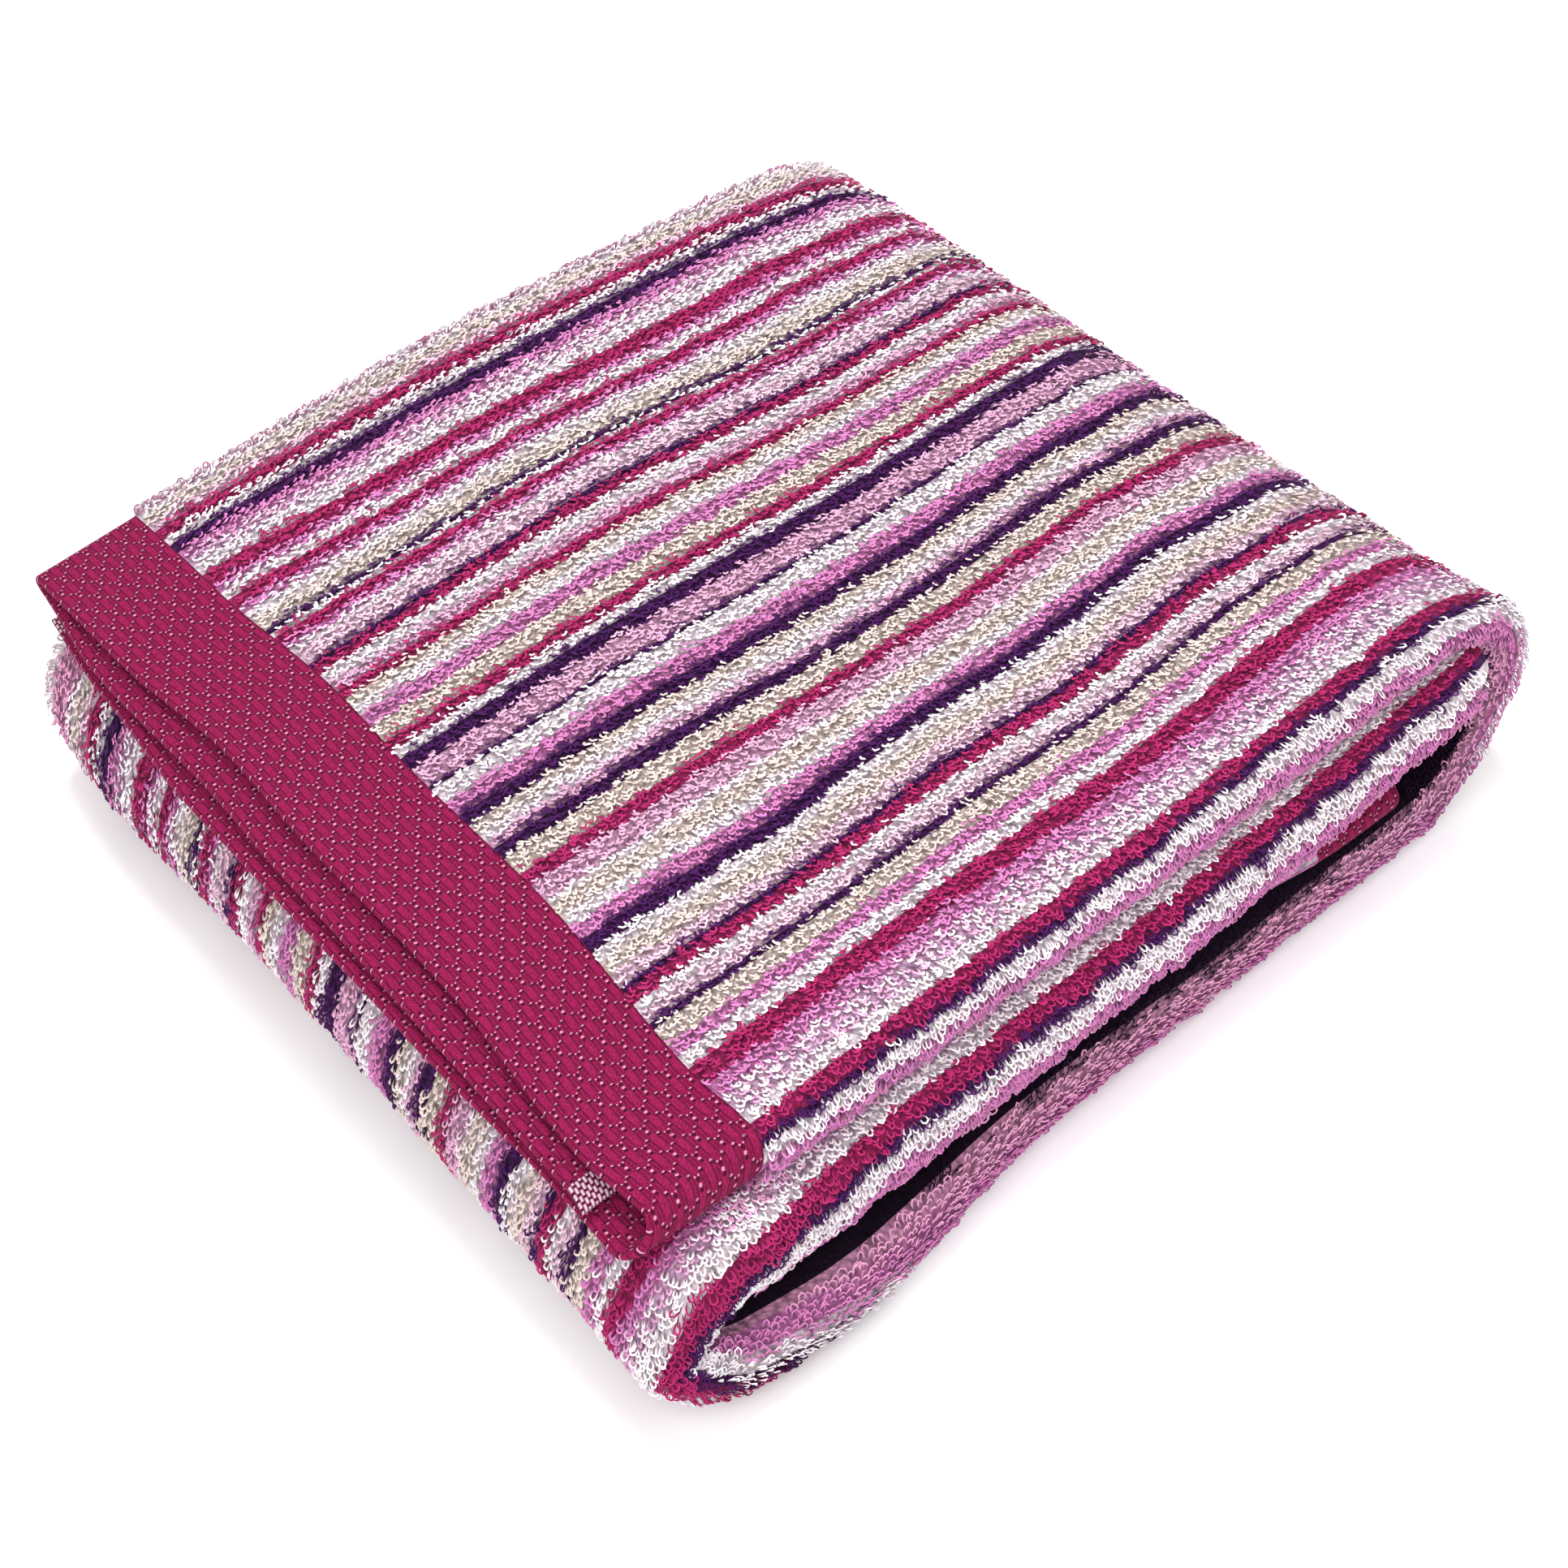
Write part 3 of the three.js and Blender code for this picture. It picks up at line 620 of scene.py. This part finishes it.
def newGroup(name, inputs, outputs):
    # a node group with its sockets, its input node and its output node
    group = bpy.data.node_groups.new(name, "ShaderNodeTree")
    for socketName, kind, value in inputs:
        socket = group.interface.new_socket(socketName, in_out="INPUT", socket_type=kind)
        socket.default_value = value
    for socketName, kind in outputs:
        group.interface.new_socket(socketName, in_out="OUTPUT", socket_type=kind)
    return group, group.nodes.new("NodeGroupInput"), group.nodes.new("NodeGroupOutput")


def blended(tree, kind, factor, a, b):
    # two colours mixed: a where the factor is nought, b or the two multiplied where it is one
    node = tree.nodes.new("ShaderNodeMix")
    node.data_type, node.blend_type = "RGBA", kind
    for k, value in ((0, factor), (6, a), (7, b)):
        feed(tree, value, node.inputs[k])
    return node.outputs[2]


def greyed(tree, colour, shade):
    # the colour with each of its parts multiplied by the shade
    grey = tree.nodes.new("ShaderNodeCombineColor")
    for k in range(3):
        tree.links.new(shade, grey.inputs[k])
    return blended(tree, "MULTIPLY", 1.0, colour, grey.outputs[0])


def four(colour, share=1.0):
    # a screen colour as light, times a share, with an alpha of one
    return (*[float(c) * share for c in linear(colour)], 1.0)


rampStops = 30  # a colour ramp holds at most 32 stops


def stripeGroup():
    # the chart as colour ramps, the first for the back of the cloth and the last for the front,
    # after the place is folded back into the chart as onChart does
    group, source, result = newGroup("stripe chart", [("Place", "NodeSocketFloat", 0.0)],
                                     [("Color", "NodeSocketColor")])
    do, plus, less, times, over = maths(group)
    place = times(source.outputs[0], 1000.0)
    place = do("MINIMUM", place, less(2 * chartEnds[1], place))
    low = do("LESS_THAN", place, chartEnds[0])
    place = plus(times(place, less(1.0, low)), times(less(2 * backCrest, place), low))
    colour, start = None, 0
    while start < len(stripeEnds):
        stop = min(start + rampStops, len(stripeEnds))
        fromU = stripeEnds[start - 1] if start else chartEnds[0]
        toU = stripeEnds[stop - 1]
        ramp = group.nodes.new("ShaderNodeValToRGB")
        stops = ramp.color_ramp.elements
        ramp.color_ramp.interpolation = "CONSTANT"
        group.links.new(over(less(place, float(fromU)), float(toU - fromU)), ramp.inputs[0])
        edges = [fromU, *stripeEnds[start:stop - 1]]
        for k, (edge, name) in enumerate(zip(edges, stripeNames[start:stop])):
            at = float((edge - fromU) / (toU - fromU))
            element = stops[0] if k == 0 else stops.new(at)
            element.position = at
            element.color = four(yarnColours.get(name, mixedGround))
        stops.remove(stops[-1])
        if colour is None:
            colour = ramp.outputs[0]
        else:
            beyond = do("GREATER_THAN", place, float(fromU))
            colour = blended(group, "MIX", beyond, colour, ramp.outputs[0])
        start = stop
    group.links.new(colour, result.inputs[0])
    return group


# The cotton's fine unevenness: two noises' scales, their shares of the fuzz and how strongly the
# first mottles the colour. The loops have a mottle of their own.
fibreForm = dict(scales=(900.0, 3200.0), shares=(0.4, 0.6), detail=2.0, mottle=0.15, loopMottle=0.22,
                 loopRelief=0.00025)


def fibreGroup():
    # the colour times one plus the mottle times the first noise's swing from -1 to 1, and the
    # two noises added as a height
    group, source, result = newGroup(
        "cotton fibre",
        [("Color", "NodeSocketColor", (1, 1, 1, 1)), ("Mottle", "NodeSocketFloat", fibreForm["mottle"])],
        [("Color", "NodeSocketColor"), ("Height", "NodeSocketFloat")])
    place = group.nodes.new("ShaderNodeTexCoord")
    noises = []
    for scale in fibreForm["scales"]:
        noise = group.nodes.new("ShaderNodeTexNoise")
        noise.inputs["Scale"].default_value = scale
        noise.inputs["Detail"].default_value = fibreForm["detail"]
        group.links.new(place.outputs["Object"], noise.inputs["Vector"])
        noises.append(noise.outputs[0])
    _, plus, less, times, _ = maths(group)
    swing = times(less(noises[0], 0.5), times(source.outputs[1], 2.0))
    group.links.new(greyed(group, source.outputs[0], plus(1.0, swing)), result.inputs[0])
    fuzz = [times(noise, share) for noise, share in zip(noises, fibreForm["shares"])]
    group.links.new(plus(*fuzz), result.inputs[1])
    return group


def newMaterial(name, roughness, sheen):
    # a cotton material, its node tree and its shader
    material = bpy.data.materials.new(name)
    material.use_nodes = True
    shader = material.node_tree.nodes["Principled BSDF"]
    shader.inputs["Roughness"].default_value = roughness
    shader.inputs["Sheen Weight"].default_value = sheen
    shader.inputs["Sheen Roughness"].default_value = 0.5
    shader.inputs["Specular IOR Level"].default_value = 0.1
    return material, material.node_tree, shader


def bumped(tree, shader, height, distance):
    # the shader's normal from a height, the distance in metres at a height of one
    bump = tree.nodes.new("ShaderNodeBump")
    bump.inputs["Distance"].default_value = distance
    bump.inputs["Strength"].default_value = 1.0
    tree.links.new(height, bump.inputs["Height"])
    tree.links.new(bump.outputs[0], shader.inputs["Normal"])


stripes, fibres = stripeGroup(), fibreGroup()


def fibred(tree, shader, colour, mottle=fibreForm["mottle"]):
    # the colour mottled by the fibre group and fed to the shader; gives the group's height
    fibre = tree.nodes.new("ShaderNodeGroup")
    fibre.node_tree = fibres
    fibre.inputs["Mottle"].default_value = mottle
    tree.links.new(colour, fibre.inputs["Color"])
    tree.links.new(fibre.outputs["Color"], shader.inputs["Base Color"])
    return fibre.outputs["Height"]


def loopMaterial():
    # the yarn of the loops: the colour that each point carries, painted shade and light included,
    # mottled, with a soft fuzz
    material, tree, shader = newMaterial("loop yarn", 0.9, 0.03)
    colour = tree.nodes.new("ShaderNodeAttribute")
    colour.attribute_name = "yarnColourWithPaintedShade"
    fuzz = fibred(tree, shader, colour.outputs["Color"], fibreForm["loopMottle"])
    bumped(tree, shader, fuzz, fibreForm["loopRelief"])
    return material


def mapPlace(tree, name):
    # the two places on the cloth, across and along, in metres
    source = tree.nodes.new("ShaderNodeUVMap")
    source.uv_map = name
    split = tree.nodes.new("ShaderNodeSeparateXYZ")
    tree.links.new(source.outputs[0], split.inputs[0])
    return source.outputs[0], split.outputs[0], split.outputs[1]


# Cells to the metre, how bright their middles are and how much less it is between them, as painted shade
# between the loops.
groundForm = dict(cellScale=560.0, brightest=0.96, between=0.7, fuzz=0.3, relief=0.0012)


def groundMaterial():
    # terry where no loops are made one by one: the stripes, darker and lower the further a point
    # lies from the middle of its cell; the darkening is painted shade, as it falls between the loops
    material, tree, shader = newMaterial("terry ground", 0.9, 0.03)
    vector, place, _ = mapPlace(tree, "stripes")
    chart = tree.nodes.new("ShaderNodeGroup")
    chart.node_tree = stripes
    tree.links.new(place, chart.inputs[0])
    cells = tree.nodes.new("ShaderNodeTexVoronoi")
    cells.inputs["Scale"].default_value = groundForm["cellScale"]
    tree.links.new(vector, cells.inputs["Vector"])
    _, plus, less, times, _ = maths(tree)
    distance = cells.outputs["Distance"]
    # painted shade: darker towards the cell's edge, where the loops meet
    shade = less(groundForm["brightest"], times(distance, groundForm["between"]))
    fuzz = fibred(tree, shader, greyed(tree, chart.outputs[0], shade))
    height = plus(times(distance, -1.0), times(fuzz, groundForm["fuzz"]))
    bumped(tree, shader, height, groundForm["relief"])
    return material


# The figured weave of the end borders, in millimetres. A spot is given as its middle aside and
# along and its radii aside and along. The shares say how strongly each thing shows in the colour
# and the heights how it shows in the relief. The columns are counted from well before the first.
# The petals' lighter colour is painted light on their rise; the gaps, the grooves and the ribs'
# troughs are painted shade, the ribs also with the yarns' own unevenness. The dots and dashes are
# the pale yarn.
borderForm = dict(
    columnStep=3.71, firstColumn=2.1, columnsBefore=10.5, rowStep=4.87, nodeAt=2.8, dashAfter=1.9,
    headFloat=(0.0, -0.1, 0.6, 0.48), sideFloat=(0.6, -1.95, 0.36, 0.28), dashRadii=(0.62, 0.3),
    lowerGap=(0.0, -1.25, 0.62, 0.5), upperGap=(0.0, 0.85, 0.62, 0.45),
    dashGapAfter=0.62, dashGapRadii=(0.8, 0.3), groove=(1.28, 3.6, 0.24, 9.0),
    petal=(0.0, 3.7, 1.45, 3.5), spotSteepness=1.8,
    ribStep=0.53, ribStray=7.0, ribDepth=0.3, twistStep=1.1, twistSlant=0.7, twistDepth=0.2,
    yarnAcross=0.9, yarnAlong=2.2, yarnInRibs=0.9, yarnInFloats=2.4,
    light=(176, 32, 96), mean=(160, 26, 84), dark=(64, 4, 30), dots=(236, 160, 194),
    petalShare=0.7, ribShare=0.7, grooveShare=0.35, gapShare=0.85, gapDarkness=0.6,
    dashGapShare=0.8, dashShare=0.85, dashBrightness=0.9,
    petalHeight=0.45, brightHeight=0.3, gapHeight=0.7, grooveHeight=0.3, ribHeight=0.22,
    fuzzHeight=0.15, relief=0.001)


def borderMaterial():
    # Columns of petals with fine ribs along them. A node stands at the head of each petal, every
    # other column half a petal on: two small floats, a gap in painted shade, a bright float and a gap
    # in painted shade. Bright dashes lie between the columns, one for each row.
    b = borderForm
    material, tree, shader = newMaterial("woven border", 0.8, 0.02)
    _, u, v = mapPlace(tree, "cloth")
    do, plus, less, times, over = maths(tree)
    petal, rowStep = 2 * b["rowStep"], b["rowStep"]
    u, v = times(u, 1000.0), times(v, 1000.0)
    firstEdge = b["firstColumn"] - b["columnStep"] * b["columnsBefore"]
    column = over(less(v, firstEdge), b["columnStep"])
    odd = times(do("PINGPONG", do("FLOOR", column), 1.0), 0.5)
    x = times(less(do("FRACT", column), 0.5), b["columnStep"])
    y = less(times(do("FRACT", plus(over(u, petal), odd)), petal), b["nodeAt"])  # from the node on
    aside = do("ABSOLUTE", x)
    dashRow = less(u, b["nodeAt"] + b["dashAfter"] - rowStep / 2)
    dashRow = less(times(do("FRACT", over(dashRow, rowStep)), rowStep), rowStep / 2)

    def spot(across, along, centreX, centreY, radiusX, radiusY):
        # one in the middle of an ellipse, falling to nothing at its edge
        dx = over(less(across, centreX), radiusX)
        dy = over(less(along, centreY), radiusY)
        inside = less(1.0, plus(times(dx, dx), times(dy, dy)))
        return do("MINIMUM", do("MAXIMUM", times(inside, b["spotSteepness"]), 0.0), 1.0)

    half = b["columnStep"] / 2
    floats = do("MAXIMUM", spot(x, y, *b["headFloat"]), spot(aside, y, *b["sideFloat"]))
    dashes = spot(aside, dashRow, half, 0.0, *b["dashRadii"])
    gaps = do("MAXIMUM", spot(x, y, *b["lowerGap"]), spot(x, y, *b["upperGap"]))
    dashGaps = spot(aside, dashRow, half, b["dashGapAfter"], *b["dashGapRadii"])
    gaps = do("MAXIMUM", gaps, times(dashGaps, b["dashGapShare"]))
    grooves, petals = spot(aside, y, *b["groove"]), spot(x, y, *b["petal"])
    # the yarns' own unevenness: a noise stretched along the ribs that shifts and breaks them up
    yarns = tree.nodes.new("ShaderNodeTexNoise")
    yarns.noise_dimensions = "2D"
    yarns.inputs["Scale"].default_value = yarns.inputs["Detail"].default_value = 1.0
    stretched = tree.nodes.new("ShaderNodeCombineXYZ")
    tree.links.new(times(u, b["yarnAcross"]), stretched.inputs[0])
    tree.links.new(times(v, b["yarnAlong"]), stretched.inputs[1])
    tree.links.new(stretched.outputs[0], yarns.inputs["Vector"])
    stray = less(yarns.outputs[0], 0.5)
    rib = times(v, 2 * np.pi / b["ribStep"])
    rib = do("SINE", plus(rib, times(stray, b["ribStray"])))
    twist = plus(u, times(v, b["twistSlant"]))
    twist = do("SINE", times(twist, 2 * np.pi / b["twistStep"]))
    depth = plus(b["ribDepth"], times(twist, b["twistDepth"]))
    ribs = plus(plus(0.5, times(rib, depth)), times(stray, b["yarnInRibs"]))
    unevenly = times(stray, b["yarnInFloats"])
    floats = times(floats, plus(1.0, unevenly))
    dashes = times(dashes, plus(b["dashBrightness"], unevenly))
    bright = do("MAXIMUM", floats, times(dashes, b["dashShare"]))
    # painted light and shade: the petals mixed towards the lighter colour, the ribs and grooves towards
    # the dark one as shade between the yarns and the columns, and the gaps towards a darker one
    dark, darkest = four(b["dark"]), four(b["dark"], b["gapDarkness"])
    colour = four(b["mean"])
    for amount, share, other in ((petals, "petalShare", four(b["light"])), (ribs, "ribShare", dark),
                                 (grooves, "grooveShare", dark), (gaps, "gapShare", darkest)):
        colour = blended(tree, "MIX", times(amount, b[share]), colour, other)
    fuzz = fibred(tree, shader, blended(tree, "MIX", bright, colour, four(b["dots"])))
    height = times(petals, b["petalHeight"])
    for way, amount, share in ((plus, bright, "brightHeight"), (less, gaps, "gapHeight"),
                               (less, grooves, "grooveHeight"), (less, ribs, "ribHeight"),
                               (plus, fuzz, "fuzzHeight")):
        height = way(height, times(amount, b[share]))
    bumped(tree, shader, height, b["relief"])
    return material


selvedgeForm = dict(  # plain weave, pale floats on a dark ground, in millimetres and shares
    floatLength=2.6, floatWidth=1.1, floatShare=0.68, fuzz=0.2,
    bright=(220, 182, 199), dark=(86, 10, 44), relief=0.0004)


def selvedgeMaterial():
    # bricks: each float is a bright oblong, and the next row's lie half a length on
    s = selvedgeForm
    material, tree, shader = newMaterial("selvedge", 0.8, 0.03)
    _, u, v = mapPlace(tree, "cloth")
    do, plus, less, times, over = maths(tree)
    row = over(times(v, 1000.0), s["floatWidth"])
    odd = times(do("PINGPONG", do("FLOOR", row), 1.0), 0.5)
    cell = plus(over(times(u, 1000.0), s["floatLength"]), odd)
    dx, dy = (times(do("ABSOLUTE", less(do("FRACT", place), 0.5)), 2.0) for place in (cell, row))
    inside = times(do("LESS_THAN", dx, s["floatShare"]), less(1.0, times(dy, dy)))
    fuzz = fibred(tree, shader, blended(tree, "MIX", inside, four(s["dark"]), four(s["bright"])))
    bumped(tree, shader, plus(inside, times(fuzz, s["fuzz"])), s["relief"])
    return material


for material in (groundMaterial(), borderMaterial(), selvedgeMaterial()):
    sheetCloth.data.materials.append(material)
yarn = loopMaterial()
pilePieces = [pilePiece(name, stretches, yarn, loopForm["seed"] + k)
              for k, (name, stretches) in enumerate(loopStretches.items())]

for piece in (sheetCloth, *pilePieces):
    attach(piece, "root")
    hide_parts("bath_sheet")
print("pieces declared")

# The studio: a pale floor that runs out to the light background, a small light from above, a broad
# one from the front left and a weak one from the front right.
studio = dict(
    floorHalf=4.0, floorColour=(0.93, 0.93, 0.93), floorRoughness=0.7, worldColour=(1.0, 1.0, 1.0),
    worldStrength=0.64, aim=(0, 0, 0.05),
    lights=(  # place in metres, size in metres, power in watts
        ((0.15, 0.3, 1.8), 0.5, 16.0), ((-0.8, -0.6, 1.3), 1.2, 16.0), ((0.9, -0.5, 1.2), 1.2, 5.0)))


def makeStudio():
    # one square for the floor, the light background, and soft square lights turned to the aim
    corners = np.array([(-1, -1, 0), (1, -1, 0), (1, 1, 0), (-1, 1, 0)]) * studio["floorHalf"] / mm
    floor = newMesh("floor", corners, np.array([(0, 1, 2, 3)]))
    material = bpy.data.materials.new("pale floor")
    material.use_nodes = True
    shader = material.node_tree.nodes["Principled BSDF"]
    shader.inputs["Base Color"].default_value = (*studio["floorColour"], 1)
    shader.inputs["Roughness"].default_value = studio["floorRoughness"]
    floor.data.materials.append(material)
    world = bpy.context.scene.world or bpy.data.worlds.new("studio")
    bpy.context.scene.world = world
    world.use_nodes = True
    background = world.node_tree.nodes["Background"]
    background.inputs[0].default_value = (*studio["worldColour"], 1)
    background.inputs[1].default_value = studio["worldStrength"]
    for k, (place, size, power) in enumerate(studio["lights"]):
        data = bpy.data.lights.new("soft light %d" % (k + 1), "AREA")
        data.size, data.energy = size, power
        light = bpy.data.objects.new(data.name, data)
        light.location = place
        towards = Vector(studio["aim"]) - Vector(place)
        light.rotation_euler = towards.to_track_quat("-Z", "Y").to_euler()
        bpy.context.scene.collection.objects.link(light)


# The camera: where it stands in millimetres before the stack is moved to the origin, its angles in
# degrees, and its focal length in pixels of an image as wide as given.
view = dict(place=(-328.8132, -404.2277, 639.9737), azimuth=-39.97104, elevation=50.98112,
            roll=-1.09142, focalPixels=3148.20, imagePixels=1932.0, sensor=36.0, clip=(0.01, 50.0))


def makeCamera():
    # its three axes from the angles: back from azimuth and elevation, right and up turned by roll
    a, e, rho = (np.radians(view[k]) for k in ("azimuth", "elevation", "roll"))
    back = np.array([np.sin(a) * np.cos(e), -np.cos(a) * np.cos(e), np.sin(e)])
    right = np.array([np.cos(a), np.sin(a), 0.0])
    upward = np.cross(back, right)
    right, upward = (right * np.cos(rho) + upward * np.sin(rho),
                     upward * np.cos(rho) - right * np.sin(rho))
    data = bpy.data.cameras.new("camera")
    data.sensor_width = view["sensor"]
    data.lens = view["sensor"] * view["focalPixels"] / view["imagePixels"]
    data.clip_start, data.clip_end = view["clip"]
    camera = bpy.data.objects.new("camera", data)
    place = (np.array(view["place"]) - np.array([*clothForm["middle"], 0])) * mm
    turn = np.eye(4)
    turn[:3] = np.stack([right, upward, back, place], 1)
    camera.matrix_world = Matrix(turn.tolist())
    bpy.context.scene.collection.objects.link(camera)
    bpy.context.scene.camera = camera


makeStudio()
makeCamera()
bpy.context.scene.view_settings.view_transform = "Standard"
print("studio and camera set")
